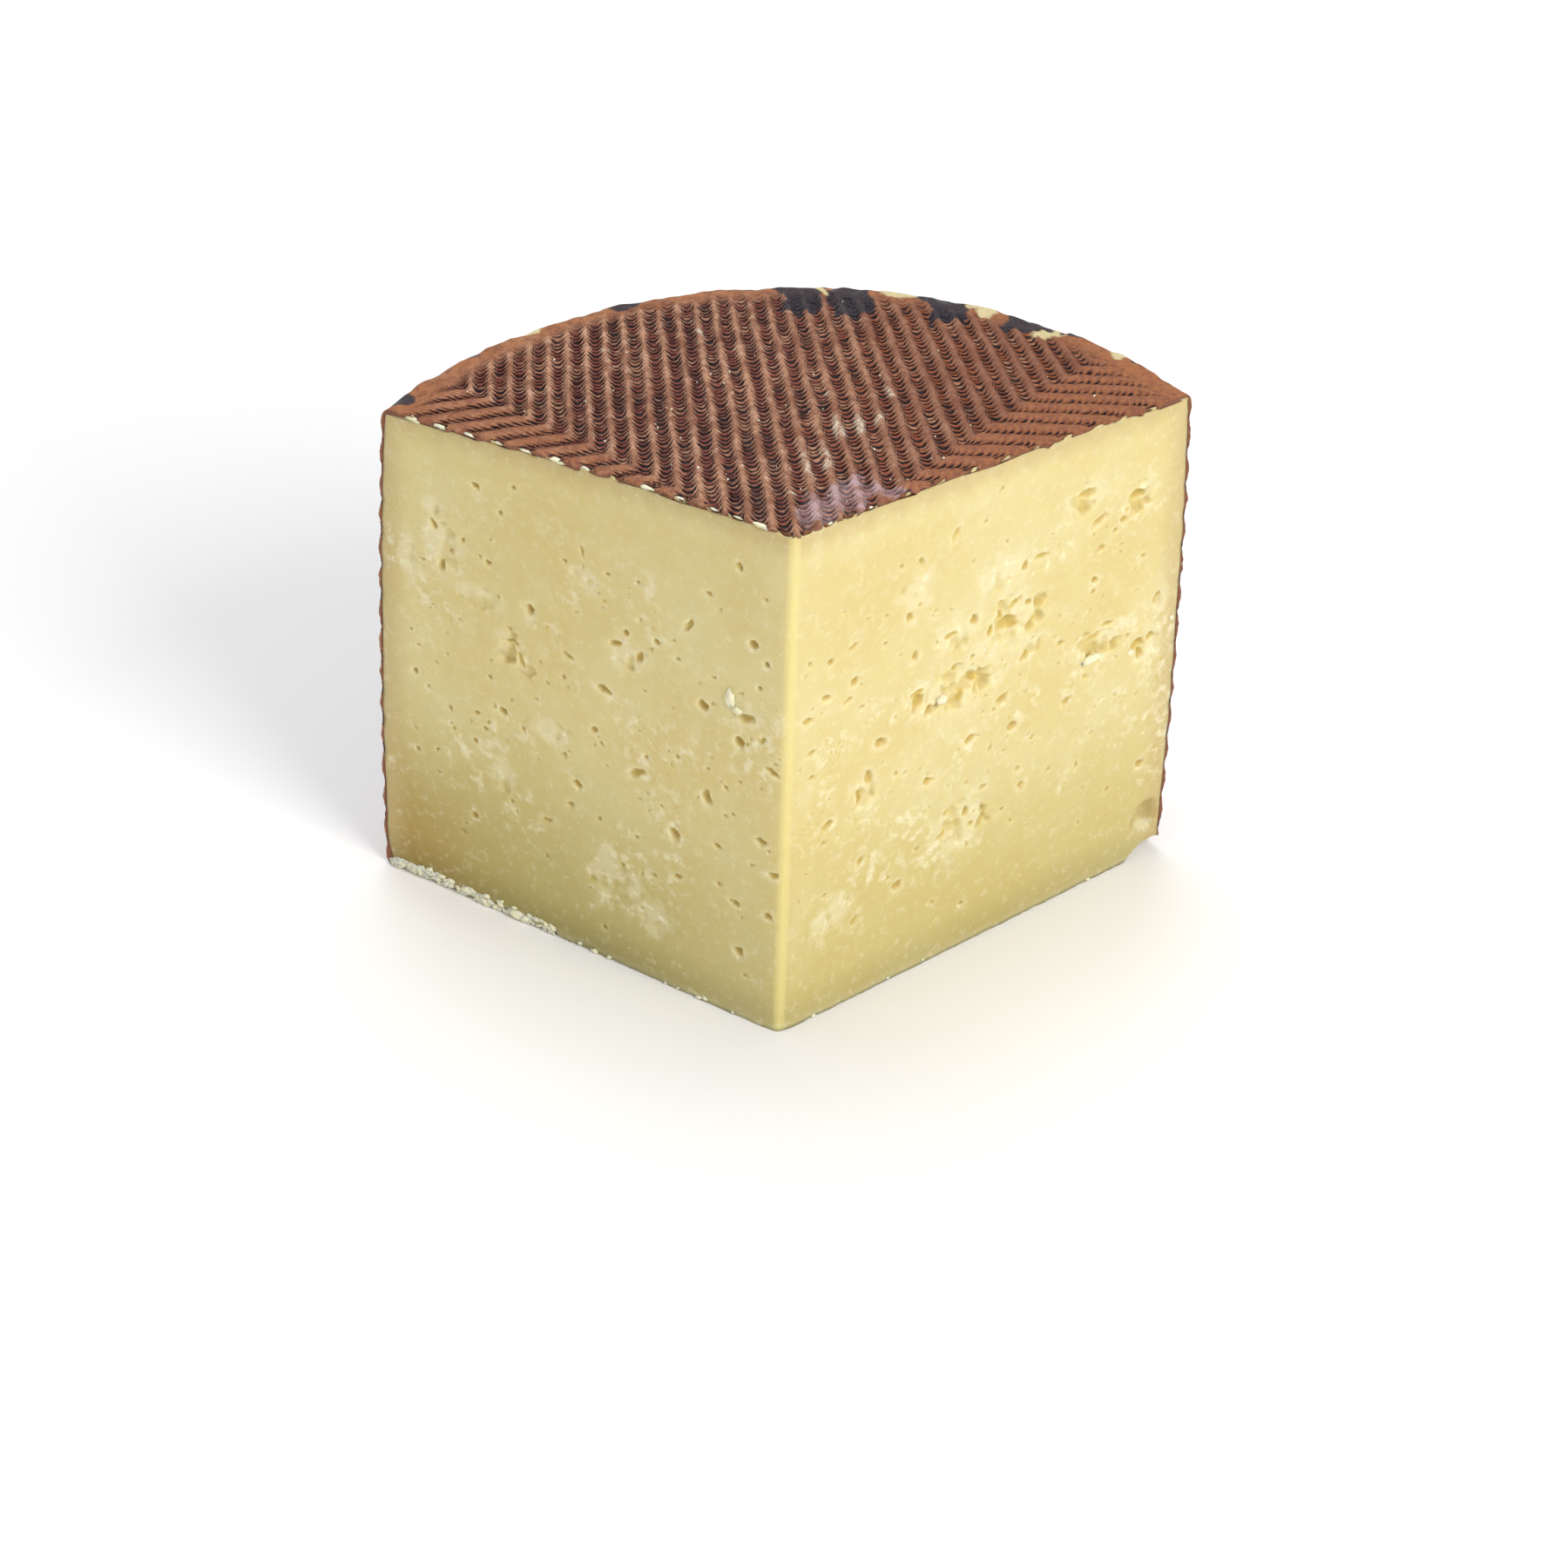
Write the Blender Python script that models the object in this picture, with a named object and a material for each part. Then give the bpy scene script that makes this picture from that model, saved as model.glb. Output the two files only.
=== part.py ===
"""A wedge of a pressed, aged manchego cheese: a bit more than a quarter of a wheel.

The wheel is modelled as it is made. A turned drum takes the zigzag of the plaited band on its
wall, a carved press board prints a fan of ridges with two chevrons on its top, and a knife then
takes the wedge out of it. Last come the eyes in the two cut faces and the broken base corner.
X runs across the wedge, Y from its tip to the rind, and Z up. The origin is under its middle.
"""

import math

import bmesh
import bpy
from mathutils import Matrix, Vector, noise

MM = 0.001

# the wheel
RADIUS = 95.0 * MM
HEIGHT = 119.2 * MM
DOME_DROP = 8.6 * MM
DOME_POWER = 1.4
WALL_BULGE = 0.9 * MM
TOP_ROUNDING = 3.0 * MM
BASE_ROUNDING = 1.5 * MM
LEAN = 3.9 * MM

# the plaited band round the wall
STRAND_COUNT = 100
BAND_ROWS = 7
STRAND_SLANT = 4
STRAND_RELIEF = 0.6 * MM

# the ridges of the press board on the top
RIDGE_PITCH = 3.65 * MM
RIDGE_RELIEF = 1.0 * MM
RIDGE_PROFILE = ((0.37, 1.0), (0.79, 1.0), (1.08, 0.0))
RIDGES_EACH_SIDE = 20
FAN_LINE = 70.0 * MM
FAN_SLOPE = 0.092
FAN_SPREAD = 0.0025 / MM
FAN_CURVE = 1.65e-5 / MM**2
CHEVRON_SLOPE = {-1: 1.06, 1: 1.27}
CHEVRON_OFFSET = {-1: 5.0 * MM, 1: 8.0 * MM}
OUTER_RISE = {-1: math.radians(-4), 1: math.radians(2)}
SMOOTH_MARGIN = 8.0 * MM
MARGIN_FADE = 7.0 * MM
ROWS_TO_CHEVRON = 8
ROWS_PAST_CHEVRON = 4

# the knife cuts
HALF_ANGLE = math.radians(54)
TIP_ROUNDING = 1.6 * MM

# the larger eyes, as seen square on to each face: from the tip, above the base, width, height
EYES_LEFT = (
    (81, 79, 2.6, 3.4), (83, 88, 2.2, 3.2), (60, 77, 2.6, 3.4), (23, 89, 2.4, 4.0),
    (40, 77, 4.0, 2.4), (65, 66, 3.9, 6.0), (35, 77, 2.4, 4.0), (9, 90, 2.6, 2.8),
    (42, 66, 4.6, 2.6), (19, 72, 3.2, 3.0), (10, 72, 5.4, 3.0), (66, 50, 2.8, 2.4),
    (11, 66, 3.0, 3.2), (34, 49, 4.6, 3.0), (19, 50, 3.0, 4.0), (48, 40, 3.2, 2.2),
    (25, 38, 3.2, 3.6), (55, 28, 3.2, 2.2), (6, 45, 3.0, 2.4), (11, 27, 2.8, 2.4),
    (10, 16, 3.2, 2.8), (73, 22, 2.4, 2.4),
)
EYES_RIGHT = (
    (71, 97, 6.4, 4.2), (84, 91, 5.6, 4.4), (74, 90, 4.8, 2.4), (60, 88, 4.2, 2.2),
    (56, 87, 2.4, 3.2), (54, 76, 12.4, 9.6), (44, 80, 3.2, 3.2), (38, 78, 3.4, 2.6),
    (28, 87, 2.4, 3.0), (57, 65, 4.4, 2.4), (74, 61, 8.5, 4.2), (88, 53, 4.6, 4.4),
    (30, 77, 2.4, 3.0), (40, 70, 3.2, 3.0), (44, 64, 7.6, 5.4), (31, 68, 4.8, 3.4),
    (34, 61, 3.0, 2.8), (52, 57, 4.4, 3.0), (22, 61, 3.6, 3.2), (44, 51, 3.6, 2.6),
    (34, 45, 3.2, 2.6), (19, 51, 3.6, 9.4), (43, 32, 11.8, 8.4), (11, 46, 3.8, 2.8),
    (28, 23, 3.2, 3.0), (15, 79, 2.6, 2.8), (18, 19, 2.4, 3.4), (55, 49, 3.0, 2.6),
)
EYE_DEPTH = 0.55
EYE_MAX_DEPTH = 1.7 * MM
EYE_ROUGHNESS = 0.22
LARGE_EYE = 4.0

# what has broken off: bearing from the middle in degrees, distance from the tip, height,
# and the half sizes outwards, across and up
CHIPS = {
    "base corner": (54, 96.0, -1.5, 11.0, 7.0, 4.5),
    "corner dent": (54, 91.0, 9.5, 3.4, 3.0, 4.2),
    "rim notch": (34, 94.5, 111.0, 3.4, 3.6, 1.8),
}

RIND_BROWN = (0.28, 0.12, 0.06, 1.0)
PASTE_CREAM = (0.80, 0.66, 0.34, 1.0)


def dome_height(x, y):
    """The height of the top before it is printed, highest on the wheel's axis."""
    share = math.hypot(x, y) / (RADIUS - TOP_ROUNDING)
    return HEIGHT - DOME_DROP * share**DOME_POWER


def leaning(x, y, z):
    """The wheel stands a little askew: its top has crept to the right."""
    return Vector((x + LEAN * z / HEIGHT, y, z))


def material(name, colour, roughness):
    made = bpy.data.materials.new(name)
    made.use_nodes = True
    shader = made.node_tree.nodes["Principled BSDF"]
    shader.inputs["Base Color"].default_value = colour
    shader.inputs["Roughness"].default_value = roughness
    shader.inputs["Metallic"].default_value = 0.0
    made.diffuse_color = colour
    return made


def solid_object(name, bm, finish):
    """Turn a finished bmesh into an object that leans with the wheel."""
    for vertex in bm.verts:
        vertex.co = leaning(*vertex.co)
    bmesh.ops.recalc_face_normals(bm, faces=bm.faces)
    # triangles let the Boolean come out the same each time
    bmesh.ops.triangulate(bm, faces=bm.faces)
    mesh = bpy.data.meshes.new(name)
    bm.to_mesh(mesh)
    bm.free()
    mesh.materials.append(finish)
    made = bpy.data.objects.new(name, mesh)
    bpy.context.scene.collection.objects.link(made)
    return made


def helper(made):
    made.hide_render = True
    made.display_type = "WIRE"
    return made


def drum_profile():
    """The half section as (radius, height, share of the strands' relief, band row)."""
    shoulder = dome_height(RADIUS - TOP_ROUNDING, 0) - TOP_ROUNDING + 0.3 * MM
    points = [(0.0, 0.0, 0.0, 0), (RADIUS - BASE_ROUNDING, 0.0, 0.0, 0)]
    for row in range(BAND_ROWS + 1):
        share = row / BAND_ROWS
        height = BASE_ROUNDING + share * (shoulder - BASE_ROUNDING)
        radius = RADIUS + WALL_BULGE * 4 * share * (1 - share)
        points.append((radius, height, 1.0, row))
    for turn in (30, 55, 90):
        angle = math.radians(turn)
        radius = RADIUS - TOP_ROUNDING * (1 - math.cos(angle))
        height = shoulder + TOP_ROUNDING * math.sin(angle)
        points.append((radius, height, 0.0, BAND_ROWS))
    points.append((0.0, HEIGHT + 2 * RIDGE_RELIEF, 0.0, BAND_ROWS))
    return points


def make_drum(finish):
    """Spin the half section, then press the plait into the wall row by row."""
    bm = bmesh.new()
    profile = drum_profile()
    chain = [bm.verts.new((point[0], 0.0, point[1])) for point in profile]
    edges = [bm.edges.new(pair) for pair in zip(chain, chain[1:])]
    columns = 2 * STRAND_COUNT
    bmesh.ops.spin(
        bm, geom=chain + edges, cent=(0, 0, 0), axis=(0, 0, 1), angle=2 * math.pi,
        steps=columns, use_merge=True, use_normal_flip=False,
    )
    bmesh.ops.remove_doubles(bm, verts=bm.verts, dist=0.001 * MM)
    step = 2 * math.pi / columns
    for vertex in bm.verts:
        radius = math.hypot(vertex.co.x, vertex.co.y)
        if radius < MM:
            continue
        ring = min(profile, key=lambda p: abs(p[0] - radius) + abs(p[1] - vertex.co.z))
        relief, row = ring[2:]
        column = round(math.atan2(vertex.co.y, vertex.co.x) / step)
        angle = (column + STRAND_SLANT * (row % 2)) * step
        radius += relief * STRAND_RELIEF * (1 if column % 2 == 0 else -1) / 2
        vertex.co.x = radius * math.cos(angle)
        vertex.co.y = radius * math.sin(angle)
    return solid_object("cheese_wedge", bm, finish)


def ridge_line(start):
    """The points of one line of the board, from beyond the rind to beyond the knife cut."""
    side = -1 if start < 0 else 1
    slope = FAN_SLOPE + FAN_SPREAD * start + FAN_CURVE * start**2
    reach = RADIUS + 4 * MM

    def across(y):
        return start + (FAN_LINE - y) * slope

    # where the line meets the chevron, y = CHEVRON_SLOPE * |x| - CHEVRON_OFFSET
    pull = side * CHEVRON_SLOPE[side]
    bend = (pull * (start + FAN_LINE * slope) - CHEVRON_OFFSET[side]) / (1 + pull * slope)
    first = math.sqrt(max(reach**2 - start**2, 0.0))
    first = max(first, bend + 2 * MM)
    points = []
    for row in range(ROWS_TO_CHEVRON + 1):
        y = first + (bend - first) * row / ROWS_TO_CHEVRON
        points.append((across(y), y))
    corner_x, corner_y = points[-1]
    past = 0.55 * abs(corner_x) + 14 * MM
    for row in range(1, ROWS_PAST_CHEVRON + 1):
        run = past * row / ROWS_PAST_CHEVRON
        rise = math.sin(OUTER_RISE[side])
        points.append((corner_x + side * run * math.cos(OUTER_RISE[side]), corner_y + run * rise))
    return points


def make_board(finish):
    """The top as the board prints it: crests and valleys in lines, extruded down to a slab."""
    starts = []
    for ridge in range(-RIDGES_EACH_SIDE, RIDGES_EACH_SIDE + 1):
        for share, crest in RIDGE_PROFILE:
            starts.append(((ridge + share) * RIDGE_PITCH, crest))
    rows = ROWS_TO_CHEVRON + ROWS_PAST_CHEVRON + 1
    bm = bmesh.new()
    bmesh.ops.create_grid(bm, x_segments=len(starts) - 1, y_segments=rows - 1, size=1)
    ordered = sorted(bm.verts, key=lambda v: (round(v.co.x, 5), -round(v.co.y, 5)))
    for index, (start, crest) in enumerate(starts):
        for row, (x, y) in enumerate(ridge_line(start)):
            inward = RADIUS - SMOOTH_MARGIN - math.hypot(x, y)
            print_depth = min(max(inward / MARGIN_FADE, 0.0), 1.0)
            relief = RIDGE_RELIEF * (crest - 0.5) * print_depth
            ordered[index * rows + row].co = (x, y, dome_height(x, y) + relief)
    underside = bmesh.ops.extrude_face_region(bm, geom=list(bm.faces))
    for item in underside["geom"]:
        if isinstance(item, bmesh.types.BMVert):
            item.co.z = -5 * MM
    return helper(solid_object("press_board", bm, finish))


def make_knife(finish):
    """The wedge between the two cuts, with the tip edge a little rubbed."""
    far = 2.2 * RADIUS
    bm = bmesh.new()
    plan = ((0.0, 0.0), (far * math.sin(HALF_ANGLE), far * math.cos(HALF_ANGLE)),
            (-far * math.sin(HALF_ANGLE), far * math.cos(HALF_ANGLE)))
    face = bm.faces.new([bm.verts.new((x, y, -5 * MM)) for x, y in plan])
    raised = bmesh.ops.extrude_face_region(bm, geom=[face])
    for item in raised["geom"]:
        if isinstance(item, bmesh.types.BMVert):
            item.co.z = HEIGHT + 10 * MM
    tip_edge = [edge for edge in bm.edges if all(v.co.xy.length < MM for v in edge.verts)]
    bmesh.ops.bevel(
        bm, geom=tip_edge, offset=TIP_ROUNDING, offset_type="OFFSET", affect="EDGES",
        segments=3, profile=0.5, material=-1,
    )
    return helper(solid_object("knife_cut", bm, finish))


def add_lump(bm, bearing, distance, up, half_sizes, subdivisions, seed):
    """An uneven ellipsoid on a bearing from the tip, its half sizes outwards, across and up."""
    outward = Vector((math.sin(bearing), math.cos(bearing), 0.0))
    across = Vector((math.cos(bearing), -math.sin(bearing), 0.0))
    upward = Vector((0.0, 0.0, 1.0))
    verts = bmesh.ops.create_icosphere(bm, subdivisions=subdivisions, radius=1.0)["verts"]
    for vertex in verts:
        vertex.co *= 1 + EYE_ROUGHNESS * noise.noise(vertex.co * 1.7 + Vector((seed, 0, 0)))
    axes = [axis * half for axis, half in zip((outward, across, upward), half_sizes)]
    place = Matrix.Translation(outward * distance + upward * up)
    bmesh.ops.transform(bm, matrix=place @ Matrix(axes).transposed().to_4x4(), verts=verts)


def make_eyes(finish):
    """The openings in both cut faces and the chips, as one cutter."""
    bm = bmesh.new()
    for side, eyes in ((-1, EYES_LEFT), (1, EYES_RIGHT)):
        for number, (along, up, width, height) in enumerate(eyes):
            depth = min(EYE_DEPTH * min(width, height) * MM, EYE_MAX_DEPTH)
            detail = 2 if max(width, height) > LARGE_EYE else 1
            half_sizes = (width * MM / 2, depth, height * MM / 2)
            add_lump(bm, side * HALF_ANGLE, along * MM, up * MM, half_sizes, detail,
                     side * (number + 1))
    for number, (bearing, distance, up, *half_sizes) in enumerate(CHIPS.values()):
        half_sizes = [half * MM for half in half_sizes]
        add_lump(bm, math.radians(bearing), distance * MM, up * MM, half_sizes, 2, 90 + number)
    return helper(solid_object("eyes_and_chips", bm, finish))


def cut(body, tool, operation):
    modifier = body.modifiers.new(tool.name, "BOOLEAN")
    modifier.operation = operation
    modifier.object = tool
    modifier.solver = "EXACT"
    modifier.material_mode = "TRANSFER"


for left_over in list(bpy.data.objects):
    bpy.data.objects.remove(left_over)

rind = material("rind", RIND_BROWN, 0.6)
paste = material("paste", PASTE_CREAM, 0.45)

wedge = make_drum(rind)
tools = (
    (make_board(rind), "INTERSECT"),
    (make_knife(paste), "INTERSECT"),
    (make_eyes(paste), "DIFFERENCE"),
)
stand = bpy.data.objects.new("stand", None)
bpy.context.scene.collection.objects.link(stand)
wedge.parent = stand
for tool, operation in tools:
    tool.parent = stand
    cut(wedge, tool, operation)

# set the finished wedge on its base with the middle of its bounds over the origin
bpy.context.view_layer.update()
corners = [Vector(corner) for corner in
           wedge.evaluated_get(bpy.context.evaluated_depsgraph_get()).bound_box]
low = Vector(map(min, zip(*corners)))
high = Vector(map(max, zip(*corners)))
stand.location = (-(low.x + high.x) / 2, -(low.y + high.y) / 2, -low.z)
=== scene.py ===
import math
import random

import bmesh
import bpy
import numpy as np
from mathutils import Matrix, Vector, noise


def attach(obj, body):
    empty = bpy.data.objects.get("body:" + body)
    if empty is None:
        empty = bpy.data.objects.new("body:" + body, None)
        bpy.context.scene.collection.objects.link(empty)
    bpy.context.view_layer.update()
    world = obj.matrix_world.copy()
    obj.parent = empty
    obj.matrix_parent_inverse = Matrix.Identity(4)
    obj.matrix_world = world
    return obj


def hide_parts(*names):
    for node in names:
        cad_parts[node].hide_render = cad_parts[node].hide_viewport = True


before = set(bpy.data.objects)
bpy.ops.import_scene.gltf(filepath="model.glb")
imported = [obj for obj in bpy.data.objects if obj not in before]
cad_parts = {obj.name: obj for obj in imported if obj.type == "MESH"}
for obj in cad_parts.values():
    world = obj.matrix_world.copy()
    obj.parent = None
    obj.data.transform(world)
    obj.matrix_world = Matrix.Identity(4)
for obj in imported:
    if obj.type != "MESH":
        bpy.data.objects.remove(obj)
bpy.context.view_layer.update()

# The paste
# The cut body of the wedge: pressed curd, aged until it is cream yellow and firm. A knife has
# opened its two faces, which show small torn eyes with pale rims.

# the wheel in mm, with the tip of the wedge at x = y = 0
MM = 0.001
RADIUS = 95.0
HEIGHT = 119.2
TALLEST = 119.5  # nothing stands higher
FOREMOST = 0.62  # nothing lies further forward
DOME_DROP = 8.6
DOME_POWER = 1.4
WALL_BULGE = 0.9
SHOULDER = 3.0
SHOULDER_HEIGHT = 107.9
BASE_ROUNDING = 1.5
LEAN = 3.9
HALF_ANGLE = math.radians(54)
TIP_SOFTNESS = 0.9
TIP = (-1.79, -48.39)
RIND = 0.9
WALL_RIND = 0.5
BEHIND_RIND = 3.0

# the plaited band round the wall
STRANDS = 100
STRAND_ROWS = 7
STRAND_RELIEF = 0.6

# the press board of the top: a fan of ridges, a chevron on each side, a smooth margin, and ribs;
# a chevron has the slope of its line, how far before the tip that starts, and the ridges' rise
RIDGE_PITCH = 3.65
RIDGE_RELIEF = 1.0
FAN_LINE = 70.0
FAN_SLOPE, FAN_SPREAD, FAN_CURVE = 0.092, 0.0025, 1.65e-5
CHEVRON = {-1: (1.06, 5.0, math.radians(-4)), 1: (1.27, 8.0, math.radians(2))}
VALLEY = 0.08
SMOOTH_MARGIN = 2.0
MARGIN_SPREAD = 4.0
MARGIN_FADE = 5.0
RIB_PITCH = 1.45
RIB_BOW = 4.5
RIB_WOBBLE = 0.8
RIB_SKEW = 1.6


def in_frame(x, y, z):
    """From the wheel's own millimetres, before it leans, to the part's frame in metres."""
    return np.stack([x + LEAN * z / HEIGHT + TIP[0], y + TIP[1], z], axis=-1) * MM


def smooth(value, low, high):
    """0 below low, 1 above high, and an easy curve between."""
    share = np.clip((value - low) / (high - low), 0.0, 1.0)
    return share * share * (3 - 2 * share)


def lumps(x, y, z, size, seed=0):
    """Even random bumps from -1 to 1, about that many mm across, others for each seed."""
    shift = seed * 17.3
    points = np.stack(np.broadcast_arrays(x / size + shift, y / size, z / size), axis=-1)
    return np.array([noise.noise(point) for point in points.reshape(-1, 3)])


def wall_radius(z):
    """The wall, bulging a little between the base's rounding and the shoulder."""
    share = np.clip((z - BASE_ROUNDING) / (SHOULDER_HEIGHT - BASE_ROUNDING), 0, 1)
    radius = RADIUS + WALL_BULGE * 4 * share * (1 - share)
    over = np.clip(z - SHOULDER_HEIGHT, 0, SHOULDER)
    under = np.clip(BASE_ROUNDING - z, 0, BASE_ROUNDING)
    radius -= SHOULDER - np.sqrt(SHOULDER**2 - over**2)
    return radius - BASE_ROUNDING + np.sqrt(BASE_ROUNDING**2 - under**2)


def plait(bearing, z):
    """The zigzag of the plaited band, 1 on a crest and -1 in a channel."""
    row = np.clip((z - BASE_ROUNDING) / (SHOULDER_HEIGHT - BASE_ROUNDING), 0, 1) * STRAND_ROWS
    zigzag = 2 * np.abs((row / 2) % 1 - 0.5)
    turn = (math.pi / 2 - bearing) / (2 * math.pi) * STRANDS - 2 * (1 - zigzag)
    return 4 * np.abs(turn % 1 - 0.5) - 1


def top_height(x, y):
    """The domed top and its rounded shoulder, without the print."""
    reach = np.hypot(x, y)
    dome = HEIGHT - DOME_DROP * (reach / (RADIUS - SHOULDER)) ** DOME_POWER
    over = np.clip(reach - (RADIUS - SHOULDER), 0, SHOULDER)
    inside = np.maximum(RADIUS - SHOULDER - reach, 0)
    return np.minimum(dome, SHOULDER_HEIGHT + np.sqrt(SHOULDER**2 - over**2) + inside)


def rim_bumps(x, y):
    """The rim has been knocked and pressed out of true."""
    return 0.55 * lumps(x, y, 0, 7.0, 51) + 0.45 * lumps(x, y, 0, 2.6, 52)


def press(x, y):
    """What the board does at a point.

    Gives the count of the ridge and the mm along it, how deep in a groove and how far inside
    the margin the point is, how far past the chevron, and where it is on a rib.
    """
    side = np.where(x < 0, -1, 1)
    slope, offset, rise = (np.where(x < 0, CHEVRON[-1][i], CHEVRON[1][i]) for i in range(3))
    outer = y < slope * np.abs(x) - offset
    outward = smooth(slope * np.abs(x) - offset - y, -1.0, 2.5)
    bend = np.where(outer, (y + offset - np.abs(x) * np.tan(rise)) / (slope - np.tan(rise)),
                    np.abs(x))
    past = (np.abs(x) - bend) / np.cos(rise)
    x_inner = np.where(outer, side * bend, x)
    y_inner = np.where(outer, slope * bend - offset, y)
    below = FAN_LINE - y_inner
    start = x_inner
    for _ in range(5):
        start = x_inner - below * (FAN_SLOPE + FAN_SPREAD * start + FAN_CURVE * start**2)
    count = start / RIDGE_PITCH
    along = below + past + RIB_WOBBLE * lumps(x, y, 0, 3.0, 13)
    leaning = (count - VALLEY + 0.5) % 1 - 0.5
    aside = np.abs(leaning)
    ribs = np.sin(2 * math.pi * rib_phase(count, along, aside, RIB_SKEW * outward * leaning))
    groove = 1 - smooth(aside + 0.05 * ribs, 0.14 - 0.12 * outward, 0.47 - 0.17 * outward)
    border = SMOOTH_MARGIN + MARGIN_SPREAD * (x / RADIUS) ** 2
    margin = smooth(RADIUS - border - np.hypot(x, y), 0, MARGIN_FADE)
    return count, along, groove, margin, outward, ribs


def rib_phase(count, along, aside, skew):
    """The strands of the board cross each groove in bowed ribs, each groove out of step."""
    return along / RIB_PITCH + RIB_BOW * aside**2 + skew + np.sin(np.round(count - VALLEY) * 2.4)


# eyes as seen square on to each face: from the tip, above the base, width, height
EYES_LEFT = (
    (81, 79, 2.1, 3.3), (70, 84, 1.6, 1.6), (76, 87, 1.2, 1.2), (67, 97, 1.4, 1.2),
    (73, 101, 2.1, 1.6), (64, 104, 1.2, 1.2), (83, 88, 1.4, 3.2), (79, 83, 1.2, 1.0),
    (60, 77, 2.1, 3.3), (48, 96, 0.9, 3.2), (52, 92, 1.4, 1.0), (42, 93, 1.2, 1.0),
    (35, 94, 1.0, 1.2), (19, 98, 2.0, 1.2), (12, 107, 1.5, 2.6), (23, 89, 1.4, 3.8),
    (6, 102, 1.0, 1.2), (37.5, 81, 1.8, 1.8), (30.5, 82, 1.6, 1.6), (40, 77.5, 3.8, 1.6),
    (51, 70, 2.9, 1.1), (64.5, 67.5, 4.2, 1.3), (62, 64, 1.4, 3.8), (34.5, 76.5, 1.8, 3.9),
    (8.5, 90.5, 2.5, 2.6), (5.5, 87, 1.6, 1.6), (42.5, 65.5, 4.5, 2.0), (52, 64.5, 1.2, 1.2),
    (19.5, 71.5, 2.8, 2.7), (10, 72.5, 5.4, 2.4), (7, 81, 1.3, 1.2), (66.5, 50, 2.3, 1.9),
    (72.5, 47, 1.2, 1.2), (79, 45.5, 1.2, 1.2), (70.5, 44, 1.2, 1.2), (61.5, 48, 1.2, 1.2),
    (44.5, 55, 1.8, 1.9), (69.5, 57, 1.0, 1.2), (25.5, 80, 1.2, 1.0), (87.5, 51, 1.3, 1.7),
    (11, 66.5, 2.6, 2.9), (6, 69, 1.2, 2.6), (43, 52.5, 1.0, 1.2), (87, 32, 1.2, 1.2),
    (73, 40, 1.2, 1.2), (51.5, 46, 1.2, 1.2), (32.5, 53.5, 1.2, 1.2), (25, 57, 1.2, 1.0),
    (34.5, 49, 4.5, 2.2), (3.5, 62.5, 3.4, 1.6), (18.5, 50, 2.6, 4.0), (14, 54.5, 1.2, 1.2),
    (48.5, 40, 2.9, 1.7), (50, 34.5, 1.9, 1.3), (64, 29, 1.2, 1.2), (73, 21.5, 1.5, 1.7),
    (55.5, 28, 2.9, 1.3), (43, 34, 1.2, 1.2), (25.5, 38, 2.8, 3.4), (15.5, 39.5, 2.2, 1.3),
    (5.5, 45, 2.8, 1.9), (37.5, 25, 1.2, 1.2), (30, 26, 1.2, 1.2), (24.5, 28, 2.2, 1.3),
    (2.5, 38, 3.4, 1.7), (11, 27.5, 1.8, 1.7), (3.5, 27.5, 2.6, 1.9), (41.5, 7.5, 1.2, 1.2),
    (10, 16, 2.6, 2.4), (15, 30.5, 1.2, 1.2),
)
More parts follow.
